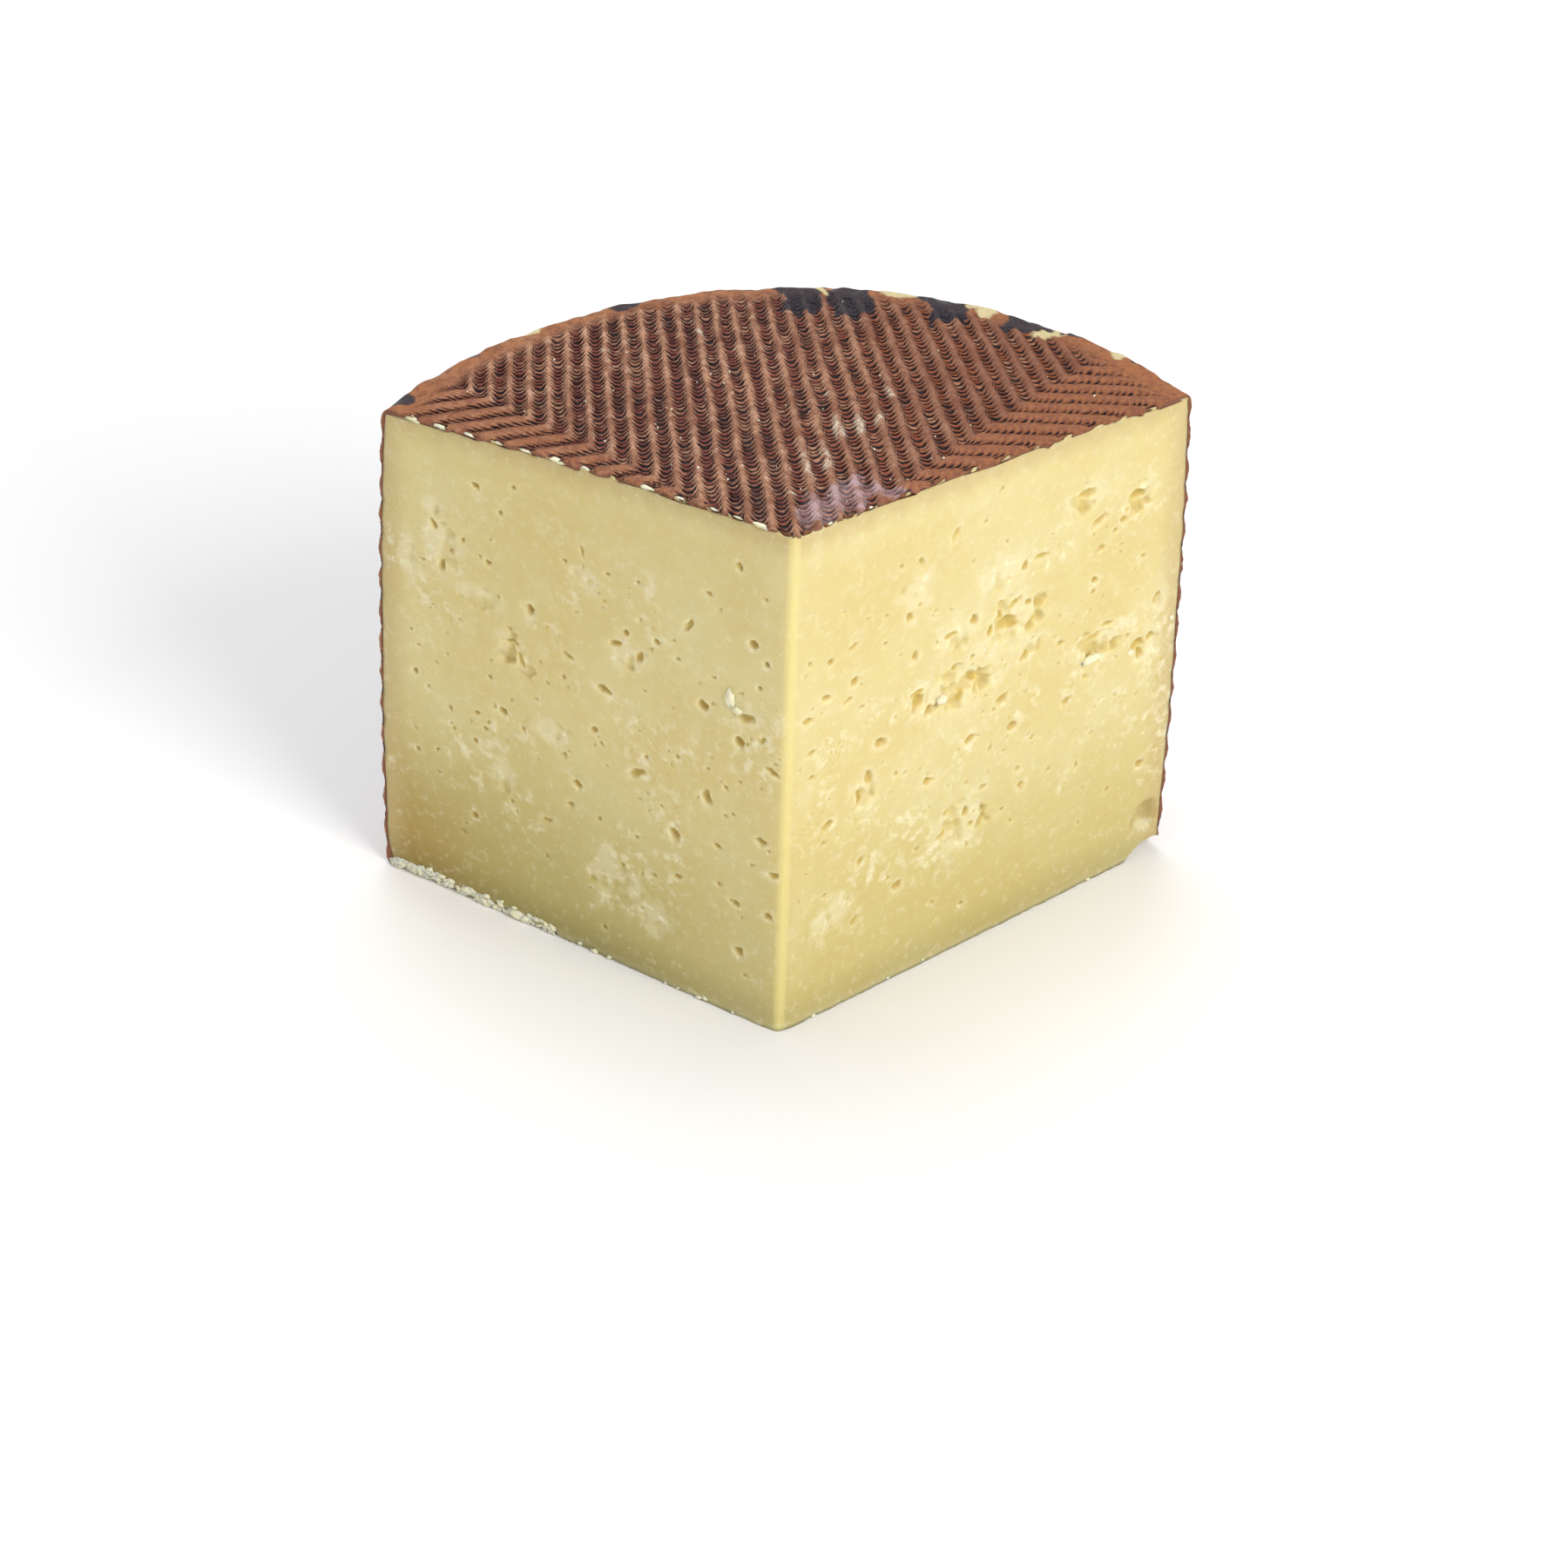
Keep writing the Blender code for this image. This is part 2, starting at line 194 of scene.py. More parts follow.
EYES_RIGHT = (
    (70.5, 97, 5.0, 2.6), (84, 91, 4.6, 3.0), (74, 89.5, 4.9, 1.9), (80, 87, 2.0, 1.9),
    (78, 85.5, 1.2, 1.2), (74.5, 82.5, 3.1, 1.3), (73.5, 75.5, 2.0, 1.9), (73.5, 73, 1.2, 1.2),
    (60, 87.5, 4.1, 1.5), (56, 87, 1.7, 2.9), (43, 94, 1.2, 1.0), (38.5, 102.5, 1.3, 2.7),
    (45.5, 102, 1.2, 1.0), (49, 108, 1.2, 1.0), (51, 95, 1.2, 1.0), (30.5, 99.5, 1.3, 2.7),
    (25.5, 100.5, 1.2, 1.0), (28, 87.5, 1.9, 2.7), (30.5, 89.5, 1.2, 1.0), (22.5, 90.5, 1.2, 1.0),
    (44, 80, 2.2, 3.0), (38.5, 78.5, 3.4, 1.8), (48.5, 75, 2.4, 2.8), (54, 79, 3.4, 1.6),
    (57.5, 77.5, 2.2, 1.8), (51, 77, 2.4, 3.2), (54, 73.5, 3.2, 1.8), (59, 73, 2.0, 1.4),
    (57, 65, 3.6, 1.9), (77.5, 63.5, 3.6, 1.3), (66, 64, 1.2, 1.2), (74, 61, 6.5, 2.2),
    (83, 58, 1.2, 1.2), (89, 55, 2.8, 2.2), (86.5, 52, 2.6, 3.2), (90, 64, 2.0, 3.0),
    (15, 87, 2.7, 1.2), (22.5, 84, 1.2, 1.0), (30, 77.5, 1.6, 2.9), (40, 70, 3.0, 2.8),
    (44, 71, 1.2, 1.2), (9.5, 85.5, 1.5, 1.7), (4.5, 87.5, 1.0, 1.2), (15.5, 78.5, 1.9, 2.3),
    (45.5, 65, 4.4, 2.0), (42, 62.5, 1.8, 3.4), (31, 68, 3.6, 2.0), (34, 62.5, 3.0, 2.8),
    (9, 77.5, 2.5, 1.5), (14, 74.5, 2.3, 1.3), (17.5, 71.5, 1.2, 1.2), (4.5, 74, 2.5, 1.7),
    (52, 57, 3.4, 2.6), (68.5, 49, 1.8, 2.0), (55, 49, 2.7, 2.2), (72.5, 53, 1.2, 1.2),
    (22.5, 60.5, 3.2, 2.6), (44.5, 51, 3.0, 2.2), (60, 44, 1.2, 1.2), (49.5, 46.5, 1.2, 1.2),
    (5.5, 66, 2.7, 1.3), (72, 31.5, 1.2, 1.2), (57, 38, 1.2, 1.2), (34.5, 45.5, 3.0, 1.8),
    (26.5, 51, 1.2, 1.2), (48.5, 37.5, 2.0, 1.3), (58, 33.5, 2.0, 2.0), (20, 53.5, 2.0, 4.6),
    (18, 49, 2.2, 4.2), (6, 60, 1.2, 1.2), (53.5, 29.5, 1.2, 1.2), (40, 35, 2.6, 2.4),
    (44.5, 33, 2.2, 2.8), (39, 30, 3.6, 1.6), (46, 29.5, 1.6, 1.4), (10.5, 46.5, 3.2, 2.2),
    (9.5, 42.5, 1.2, 1.2), (18.5, 33.5, 1.6, 2.8), (32.5, 30, 1.2, 1.2), (28, 23, 2.6, 2.7),
    (37, 14.5, 1.2, 1.2), (44.5, 10.5, 1.2, 1.2), (17.5, 19.5, 1.3, 3.1), (10, 29.5, 1.2, 1.2),
    (80.5, 21.5, 1.2, 1.2), (88.5, 24, 2.2, 2.2), (43.5, 65, 7.6, 4.6), (31.5, 66, 2.8, 4.4),
    (52.5, 74.5, 5.0, 3.6), (86, 54.5, 4.0, 3.4),
)
# shallow torn places round the eyes: from the tip, above the base, width, height, depth
TORN_LEFT = (
    (81, 84, 8, 9, 0.5), (65, 66, 4.4, 6.5, 0.9), (61, 63, 5, 4, 0.5), (72, 75, 8, 5, 0.3),
    (40, 20, 9, 12, 0.5), (30, 15, 6, 6, 0.4), (47, 90, 6, 4, 0.4), (89, 78, 3, 10, 0.4),
    (54, 50, 7, 5, 0.3), (83, 92, 4, 3, 0.5), (37, 76, 7, 6, 0.6), (66, 34, 4, 6, 0.3),
)
TORN_RIGHT = (
    (54, 75, 12, 12, 1.2), (43.5, 31, 11, 11, 1.0), (41, 65, 15, 10, 1.4),
    (70.5, 96.5, 7, 6, 1.0), (84, 91, 6, 7, 1.0), (75.5, 59.5, 12, 7, 1.1),
    (19, 51, 5, 9, 1.0), (31.5, 67, 6, 7, 1.0), (30, 93, 7, 7, 0.4),
    (88, 54, 6, 6, 0.9), (91, 64, 3, 5, 0.8), (12, 24, 7, 6, 0.4),
    (50, 88, 9, 6, 0.4), (40, 78, 8, 6, 0.6), (59, 67, 6.0, 4.0, 0.6),
)
FACES = ((-1, EYES_LEFT, TORN_LEFT), (1, EYES_RIGHT, TORN_RIGHT))
FACE_SEED = 40
PINHOLES = 90
HIGHEST_PINHOLE = HEIGHT - 20.0
PLAIN_END = 6.0


def pinholes(seed):
    """The finest eyes, too many to place by hand, scattered clear of the rind."""
    draw = random.Random(seed)
    for _ in range(PINHOLES):
        along = draw.uniform(2, RADIUS - PLAIN_END)
        up = draw.triangular(4, HIGHEST_PINHOLE, 60)
        yield along, up, draw.uniform(0.5, 1.1), draw.uniform(0.5, 1.0)


def torn_surface(along, up, eyes, torn, seed):
    """How deep each point of a cut face lies, with how much painted amber shade its hollow takes
    and how much of a pale rim it is.
    """
    depth = np.zeros_like(along)
    inside = np.zeros_like(along)
    pale = np.zeros_like(along)
    for number, (at, height, wide, tall, deep) in enumerate(torn):
        near = (np.abs(along - at) < 1.2 * wide) & (np.abs(up - height) < 1.2 * tall)
        across, above = along[near] - at, up[near] - height
        ragged = lumps(across, above, seed + number, 3.2) + 0.5 * lumps(across, above, seed, 1.3)
        reach = np.hypot(across / (0.6 * wide), above / (0.6 * tall)) + 0.5 * ragged
        hollow = 1 - smooth(reach, 0.68, 1.0)
        rounded = lumps(across, above, seed - number, 4.4) + 0.5 * lumps(across, above, 3, 2.0)
        dug = smooth(rounded, -0.3, 0.5)
        depth[near] = np.maximum(depth[near], deep * hollow * (0.3 + 1.0 * dug))
        # painted shade: amber in the deep parts of a torn place
        inside[near] = np.maximum(inside[near], 0.6 * min(1, deep) * hollow * dug**2)
        pale[near] = np.maximum(pale[near], 0.7 * (1 - smooth(reach, 0.75, 1.5)) * (1 - dug))
    for number, (at, height, wide, tall) in enumerate(list(eyes) + list(pinholes(seed))):
        small = min(wide, tall)
        reach_out = max(wide, tall) + 1.6
        near = (np.abs(along - at) < reach_out) & (np.abs(up - height) < reach_out)
        across, above = along[near] - at, up[near] - height
        tilt = 0.5 * math.sin(number * 2.4)
        across, above = (across * math.cos(tilt) - above * math.sin(tilt),
                         across * math.sin(tilt) + above * math.cos(tilt))
        ragged = lumps(across, above, number + seed, 0.45 * small + 0.35)
        reach = np.hypot(across / (wide / 2), above / (tall / 2)) * (1 + 0.42 * ragged)
        deep = min(0.15 + 0.5 * small, 1.8)
        hollow = 1 - smooth(reach, 0.3, 1.12)
        depth[near] = np.maximum(depth[near], deep * hollow + 0.5 * depth[near])
        # painted shade: amber in the hollow of an eye, less in the large ones
        amber = min(1, small / 1.5, 4.5 / max(wide, tall))
        inside[near] = np.maximum(inside[near], (1 - smooth(reach, 0.5, 1.0)) * amber)
        halo = 1 - smooth((reach - 1) * small / 2, 0.0, 1.1)
        pale[near] = np.maximum(pale[near], halo * min(1, small / 2.2) * (0.6 + 0.4 * ragged))
    return depth, inside, pale


# what has broken off: bearing, distance, height, half sizes outwards, across and up, way in
CHIPS = (
    (54, 96.0, -1.5, (11.0, 7.0, 4.5), (-0.35, -0.35, 0.87)),
    (54, 92.2, -1.0, (5.8, 5.0, 4.6), (-0.1, -0.3, 0.95)),
    (54, 91.0, 9.5, (3.4, 3.0, 4.2), (0.0, -1.0, 0.0)),
    (34, 94.5, 111.0, (3.4, 3.6, 1.8), (-0.6, 0.0, -0.8)),
)


def broken(x, y, z):
    """Push the surface in where a chip is missing. Also tells how far each point was moved."""
    moved = np.zeros_like(x)
    for number, (bearing, distance, height, halves, way) in enumerate(CHIPS):
        turn = math.radians(bearing)
        outwards, across = (math.sin(turn), math.cos(turn)), (math.cos(turn), -math.sin(turn))
        dx, dy, dz = x - outwards[0] * distance, y - outwards[1] * distance, z - height
        places = [(dx * outwards[0] + dy * outwards[1]) / halves[0],
                  (dx * across[0] + dy * across[1]) / halves[1], dz / halves[2]]
        size = np.sqrt(sum(place**2 for place in places))
        hit = size < 1
        if not hit.any():
            continue
        rough = 0.93 + 0.10 * lumps(x[hit], y[hit], z[hit], 1.6, number)
        steps = [component / half for component, half in zip(way, halves)]
        local = [place[hit] for place in places]
        a = sum(step**2 for step in steps)
        b = sum(step * place for step, place in zip(steps, local))
        c = sum(place**2 for place in local) - rough**2
        travel = np.where(c < 0, (-b + np.sqrt(np.maximum(b * b - a * c, 0))) / a, 0)
        x[hit] += travel * (way[0] * outwards[0] + way[1] * across[0])
        y[hit] += travel * (way[0] * outwards[1] + way[1] * across[1])
        z[hit] += travel * way[2]
        moved[hit] = np.maximum(moved[hit], travel)
    return x, y, z, moved


def shape(bm, name, place):
    """Make an object of a bmesh in unit coordinates: place() gives mm and named attributes."""
    mesh = bpy.data.meshes.new(name)
    bm.to_mesh(mesh)
    bm.free()
    flat = np.empty(len(mesh.vertices) * 3, np.float32)
    mesh.vertices.foreach_get("co", flat)
    u, v, w = flat.reshape(-1, 3).T.astype(float)
    x, y, z, attributes = place(u, v, w)
    mesh.vertices.foreach_set("co", in_frame(x, y, z).astype(np.float32).ravel())
    for key, values in attributes.items():
        mesh.attributes.new(key, "FLOAT", "POINT").data.foreach_set(
            "value", values.astype(np.float32))
    return finish_mesh(name, mesh)


MEETING = 0.004 * MM
SLENDER = 0.002 * MM


def finish_mesh(name, mesh):
    """Merge what meets, close what is open, face outwards and shade smooth."""
    bm = bmesh.new()
    bm.from_mesh(mesh)
    bmesh.ops.remove_doubles(bm, verts=bm.verts, dist=MEETING)
    bmesh.ops.dissolve_degenerate(bm, edges=bm.edges, dist=SLENDER)
    bmesh.ops.holes_fill(bm, edges=[edge for edge in bm.edges if edge.is_boundary], sides=0)
    bmesh.ops.triangulate(bm, faces=[face for face in bm.faces if len(face.verts) > 4])
    bmesh.ops.recalc_face_normals(bm, faces=bm.faces)
    bm.to_mesh(mesh)
    bm.free()
    mesh.shade_smooth()
    made = bpy.data.objects.new(name, mesh)
    bpy.context.scene.collection.objects.link(made)
    return made


def unit_grid(columns, rows):
    bm = bmesh.new()
    bmesh.ops.create_grid(bm, x_segments=columns, y_segments=rows, size=0.5)
    bmesh.ops.translate(bm, vec=(0.5, 0.5, 0), verts=bm.verts)
    return bm


# the paste is a grid wrapped round both faces and the back, its top and bottom rows turned in
# towards the heart of the wedge under the rind
FACE_COLUMNS = 210
BACK_COLUMNS = 14
PASTE_ROWS = 136
BASE_TURN, TOP_TURN = 3 / PASTE_ROWS, 1 - 4 / PASTE_ROWS
TURNED_IN_OVER, TURNED_IN_UNDER = 0.10, 0.03
SUNK_OVER, RAISED_UNDER = 3.0, 0.7
HEART = 55
FACE_SHARE = FACE_COLUMNS / (FACE_COLUMNS + BACK_COLUMNS)
FACE_END = RADIUS - 0.8
UNDER_SKIN = 0.8 * RIND
LAST_COLUMN = 1 - 1e-6


def paste_outline(u, v):
    """Whether a point is on a cut face, how far along it, its plain place, the top there."""
    on_face = u <= FACE_SHARE + 1e-6
    run = np.clip(u / FACE_SHARE, 0, 1) * 2 - 1
    around = np.clip((u - FACE_SHARE) / (1 - FACE_SHARE), 0, 1)
    bearing = np.where(on_face, np.sign(run) * HALF_ANGLE, HALF_ANGLE * (1 - 2 * around))
    bearing = np.where(u > LAST_COLUMN, -HALF_ANGLE, bearing)
    run = np.where(u > LAST_COLUMN, -1.0, np.where(on_face, run, 1.0))
    at_cut = on_face | (u > LAST_COLUMN)
    edge_x = run * FACE_END * math.sin(HALF_ANGLE)
    edge_y = np.abs(run) * FACE_END * math.cos(HALF_ANGLE)
    edge_x = np.where(at_cut, edge_x, FACE_END * np.sin(bearing))
    edge_y = np.where(at_cut, edge_y, FACE_END * np.cos(bearing))
    groove, margin = press(edge_x, edge_y)[2:4]
    top = top_height(edge_x, edge_y) + RIDGE_RELIEF * margin * (0.5 - groove) - UNDER_SKIN
    z = np.clip((v - BASE_TURN) / (TOP_TURN - BASE_TURN), 0, 1) * top
    reach = wall_radius(z) + 0.5 * STRAND_RELIEF * plait(bearing, z) - 0.5 * WALL_RIND
    reach = np.where(at_cut, reach, RADIUS - BEHIND_RIND)
    run_mm = run * reach
    x = np.where(at_cut, run_mm * math.sin(HALF_ANGLE), reach * np.sin(bearing))
    y = np.where(at_cut, np.sqrt((run_mm * math.cos(HALF_ANGLE)) ** 2 + TIP_SOFTNESS**2),
                 reach * np.cos(bearing))
    over, under = np.clip((v - TOP_TURN) / (1 - TOP_TURN), 0, 1), np.clip(1 - v / BASE_TURN, 0, 1)
    pull = TURNED_IN_OVER * over + TURNED_IN_UNDER * under
    z = z - SUNK_OVER * over + RAISED_UNDER * under
    return on_face, run_mm, x - x * pull, y + (HEART - y) * pull, z, top


def place_paste(u, v, w):
    """The cut faces with their eyes, tears and rough lower edges, and what is broken off."""
    on_face, run, x, y, z, top = paste_outline(u, v)
    depth, inside, pale = (np.zeros_like(x) for _ in range(3))
    for side, eyes, torn in FACES:
        mine = on_face & (np.sign(run) == side)
        results = torn_surface(np.abs(run[mine]), z[mine], eyes, torn, FACE_SEED + side)
        depth[mine], inside[mine], pale[mine] = results
    crumb = 0.05 * lumps(x, y, z, 0.9, 3) + 0.12 * lumps(x, y, z, 7.0, 4)
    near_base = 1 - smooth(z, 0.0, 2.6)
    ragged = lumps(run, 0, 0, 4.2, 5) + 0.6 * lumps(run, 0, z, 1.3, 6)
    crumbly = 0.2 + 0.8 * smooth(-run, 20, 60)
    crumb = crumb + near_base * crumbly * (0.35 + 0.6 * ragged)
    clear = smooth(RADIUS - np.abs(run), 1.0, 4.0)
    depth = np.where(on_face, depth * clear + crumb * smooth(RADIUS - np.abs(run), 0.6, 2.0), 0)
    lift = np.where(on_face, near_base * crumbly * np.maximum(0, 0.2 + 0.9 * ragged), 0)
    across = np.where(on_face, run * math.cos(HALF_ANGLE) ** 2 / np.maximum(y, 0.1), 0)
    length = np.hypot(across, math.sin(HALF_ANGLE))
    x = x - across / length * depth
    y = y + math.sin(HALF_ANGLE) / length * depth
    z = z + np.clip(lift, 0, 1.4) * (z < 2.6)
    x, y, z, moved = broken(x, y, z)
    lip = (1 - smooth(z, 0.8, 2.6)) * (0.35 + 0.65 * smooth(-run, 45, 60)) * on_face
    pale = np.maximum(np.maximum(pale, (moved > 0.2) & (z < 7)), lip * (0.75 + 0.5 * ragged))
    rindward = np.minimum(top - z, RADIUS - np.abs(run))
    return x, y, z, {"eye": inside, "pale": np.clip(pale, 0, 1),
                     "rindward": np.where(on_face, rindward, 0),
                     "tip": (1 - smooth(np.abs(run), 0.4, 1.8)) * on_face}


ROUND_AN_EYE = 0.7
ROUND_A_TEAR = 0.72


def refine(bm, wanted):
    """Split the faces round every vertex that wanted() marks, once."""
    bm.verts.ensure_lookup_table()
    u, v = np.array([vertex.co[:2] for vertex in bm.verts]).T
    marked = wanted(u, v)
    bm.verts.index_update()
    edges = [edge for edge in bm.edges
             if marked[edge.verts[0].index] and marked[edge.verts[1].index]]
    bmesh.ops.subdivide_edges(bm, edges=edges, cuts=1, use_grid_fill=True)


def near_an_eye(u, v):
    """Where the cut faces need finer cells: at the eyes and in the torn places."""
    on_face, run, _, _, z, _ = paste_outline(u, v)
    marked = np.zeros(len(u), bool)
    for side, eyes, torn in FACES:
        mine = np.flatnonzero(on_face & (np.sign(run) == side))
        spots = [(at, height, wide / 2 + ROUND_AN_EYE, tall / 2 + ROUND_AN_EYE)
                 for at, height, wide, tall in [*eyes, *pinholes(FACE_SEED + side)]]
        spots += [(at, height, ROUND_A_TEAR * wide, ROUND_A_TEAR * tall)
                  for at, height, wide, tall, _ in torn]
        for at, height, half_width, half_height in spots:
            close = np.hypot((np.abs(run[mine]) - at) / half_width,
                             (z[mine] - height) / half_height) < 1
            marked[mine[close]] = True
    return marked


paste_grid = unit_grid(FACE_COLUMNS + BACK_COLUMNS, PASTE_ROWS)
for _ in range(2):
    refine(paste_grid, near_an_eye)
paste = shape(paste_grid, "paste", place_paste)


class Wire:
    """A socket in a material, so that shader maths can be written as an expression."""

    def __init__(self, tree, socket):
        self.tree, self.socket = tree, socket

    def math(self, operation, *values):
        return node(self.tree, "Math", {"operation": operation}, dict(enumerate(values)))

    def __add__(self, other): return self.math("ADD", self, other)
    def __radd__(self, other): return self.math("ADD", other, self)
    def __sub__(self, other): return self.math("SUBTRACT", self, other)
    def __rsub__(self, other): return self.math("SUBTRACT", other, self)
    def __mul__(self, other): return self.math("MULTIPLY", self, other)
    def __rmul__(self, other): return self.math("MULTIPLY", other, self)


def node(tree, kind, settings=(), sockets=(), out=0):
    """Any shader node: its settings are set first, then its sockets get values or links."""
    made = tree.nodes.new("ShaderNode" + kind)
    for key, value in dict(settings).items():
        setattr(made, key, value)
    for key, value in dict(sockets).items():
        if isinstance(value, Wire):
            tree.links.new(value.socket, made.inputs[key])
        else:
            made.inputs[key].default_value = value
    return Wire(tree, made.outputs[out])


def new_finish(name, roughness, specular):
    """A material with its tree, its shader and the wire of the object's own coordinates."""
    material = bpy.data.materials.new(name)
    material.use_nodes = True
    tree = material.node_tree
    shader = tree.nodes["Principled BSDF"]
    shader.inputs["Roughness"].default_value = roughness
    shader.inputs["Specular IOR Level"].default_value = specular
    return material, tree, shader, node(tree, "TexCoord", out="Object")


def let_light_in(shader, share, distances, depth):
    """Light goes a little way into curd and skin, red furthest and blue least."""
    shader.inputs["Subsurface Weight"].default_value = share
    shader.inputs["Subsurface Radius"].default_value = distances
    shader.inputs["Subsurface Scale"].default_value = depth


def colour(red, green, blue):
    """A colour as it is seen on a screen, 0 to 255, in the linear values that shaders take."""
    parts = [part / 255 for part in (red, green, blue)]
    return [part / 12.92 if part < 0.04045 else ((part + 0.055) / 1.055) ** 2.4
            for part in parts] + [1.0]


def blend(tree, share, first, second):
    return node(tree, "Mix", {"data_type": "RGBA"}, {0: share, 6: first, 7: second}, out=2)


def spread(tree, value, low, high):
    """The share of the way from low to high, eased, kept from 0 to 1."""
    return node(tree, "MapRange", {"interpolation_type": "SMOOTHSTEP"},
                {"Value": value, "From Min": low, "From Max": high})


def mottle(tree, place, scale, detail=3.0, rough=0.6):
    return node(tree, "TexNoise", {}, {"Vector": place, "Scale": scale, "Detail": detail,
                                       "Roughness": rough}, out="Fac")


def own(tree, key):
    return node(tree, "Attribute", {"attribute_name": key}, out="Fac")


def link(tree, wire, shader, key):
    tree.links.new(wire.socket, shader.inputs[key])


CREAM = colour(221, 207, 150)
STRAW = colour(216, 197, 132)
OLIVE = colour(170, 158, 88)
DULL_OCHRE_SHADE = colour(170, 134, 48)
PALE = colour(241, 235, 204)
OCHRE_SHADE = colour(208, 180, 86)
NEAR_RIND = colour(196, 173, 120)
FOOT_SHADE = colour(104, 94, 52)
TIP_HIGHLIGHT = colour(240, 228, 152)

paste_finish, tree, shader, place = new_finish("paste", 0.5, 0.35)
across = node(tree, "SeparateXYZ", {}, {"Vector": place}, out="X")
up = node(tree, "SeparateXYZ", {}, {"Vector": place}, out="Z")
body = blend(tree, spread(tree, mottle(tree, place, 34), 0.3, 0.72), CREAM, STRAW)
# greener low down, partly the curd's own tone and partly painted shade; painted shade browner
# towards the lower left corner and along the base; browner towards the rind
shaded_left_side = 1.0 - spread(tree, across, -0.045, 0.0)
low = 1.0 - spread(tree, up, -0.005, 0.062)
# painted shade in part: olive low down, more on the left face, which gets less light
body = blend(tree, (0.45 + 0.4 * shaded_left_side) * low, body, OLIVE)
# painted shade: the lower left corner dulled to ochre
corner_shade = (1.0 - spread(tree, across, -0.079, -0.045)) * (1.0 - spread(tree, up, 0.004, 0.04))
body = blend(tree, 0.75 * corner_shade, body, DULL_OCHRE_SHADE)
body = blend(tree, 0.7 - 0.7 * spread(tree, own(tree, "rindward"), 0.5, 7.0), body, NEAR_RIND)
# painted shade: a darker band along the foot, stronger on the left
foot_shade = 1.0 - spread(tree, up, 0.0, 0.012)
body = blend(tree, foot_shade * (0.22 + 0.16 * shaded_left_side), body, FOOT_SHADE)
# the curd's own grain, and zones of pale flecks with fine pits between them, the pits darkened with
# painted shade
curd = spread(tree, mottle(tree, place, 210, 4.0, 0.65), 0.52, 0.66)
body = blend(tree, 0.1 * curd * spread(tree, up, 0.01, 0.04), body, PALE)
speck = spread(tree, mottle(tree, place, 520, 4.0, 0.7), 0.52, 0.7)
zone = spread(tree, mottle(tree, place, 62, 1.0), 0.46, 0.66) * spread(tree, up, 0.006, 0.03)
zone = zone * (1.0 - spread(tree, up, 0.09, 0.105))
fleck = zone * spread(tree, mottle(tree, place, 430, 3.0, 0.5), 0.5, 0.7)
pit = zone * spread(tree, mottle(tree, place, 820, 2.0, 0.5), 0.64, 0.72)
body = blend(tree, 0.55 * fleck, body, PALE)
body = blend(tree, 0.7 * pit, body, OCHRE_SHADE)
# pale rims, painted amber shade in the eyes and torn places, and a painted highlight on the tip
# edge, as the mesh places them
body = blend(tree, own(tree, "pale") * (0.45 + 0.55 * speck), body, PALE)
body = blend(tree, 0.25 * speck, body, PALE)
body = blend(tree, own(tree, "eye") * 0.8, body, OCHRE_SHADE)
# painted highlight: a brighter yellow band down the rounded tip edge
body = blend(tree, own(tree, "tip") * 0.5, body, TIP_HIGHLIGHT)
link(tree, body, shader, "Base Color")
link(tree, 0.40 + 0.2 * mottle(tree, place, 300), shader, "Roughness")
grain = mottle(tree, place, 1400, 4.0, 0.65) + 0.8 * mottle(tree, place, 420, 2.0) - 1.2 * pit
link(tree, node(tree, "Bump", {}, {"Strength": 0.35, "Distance": 0.0004, "Height": grain}),
     shader, "Normal")
let_light_in(shader, 0.7, (1.0, 0.75, 0.35), 0.002)
paste.data.materials.append(paste_finish)
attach(paste, "root")
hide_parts("cheese_wedge")

# The rind of the top
# The oiled brown skin that the carved press board has printed: smooth tan crests, dark grooves
# crossed by fine ribs, and a smooth margin with old mould-dark and bare cream patches.
TOP_REACH = 94.2
TOP_CELLS = (24, 17)
TOP_CUTS = 13
KNOCKED_FROM, KNOCKED_TO = 84, 90


def sheet(cells, cuts, edge_cuts):
    """A closed unit slab, fine on its outer side at z = 0 and coarse inside at z = 1."""
    bm = bmesh.new()
    bmesh.ops.create_cube(bm, size=1.0)
    bmesh.ops.translate(bm, vec=(0.5, 0.5, 0.5), verts=bm.verts)
    for axis, share_cuts in enumerate((cells[0] - 1, cells[1] - 1, edge_cuts)):
        whole = [edge for edge in bm.edges
                 if abs(edge.verts[0].co[axis] - edge.verts[1].co[axis]) > 0.5]
        bmesh.ops.subdivide_edges(bm, edges=whole, cuts=share_cuts, use_grid_fill=True)
    level = [edge for edge in bm.edges
             if abs(edge.verts[0].co.z - edge.verts[1].co.z) < 0.01 and edge.verts[0].co.z < 0.9]
    bmesh.ops.subdivide_edges(bm, edges=level, cuts=cuts, use_grid_fill=True)
    return bm


def sector(u, v, reach, inset=0.0):
    """From the unit square to the wedge's plan: v runs from the knife cut out to the rind."""
    x = (2 * u - 1) * (reach * math.sin(HALF_ANGLE) - 0.05)
    cut = np.sqrt((x / math.tan(HALF_ANGLE)) ** 2 + TIP_SOFTNESS**2)
    cut = cut + inset / math.sin(HALF_ANGLE)
    rim = np.sqrt(np.maximum(reach**2 - x**2, 0))
    return x, cut + v * np.maximum(rim - cut, 0)


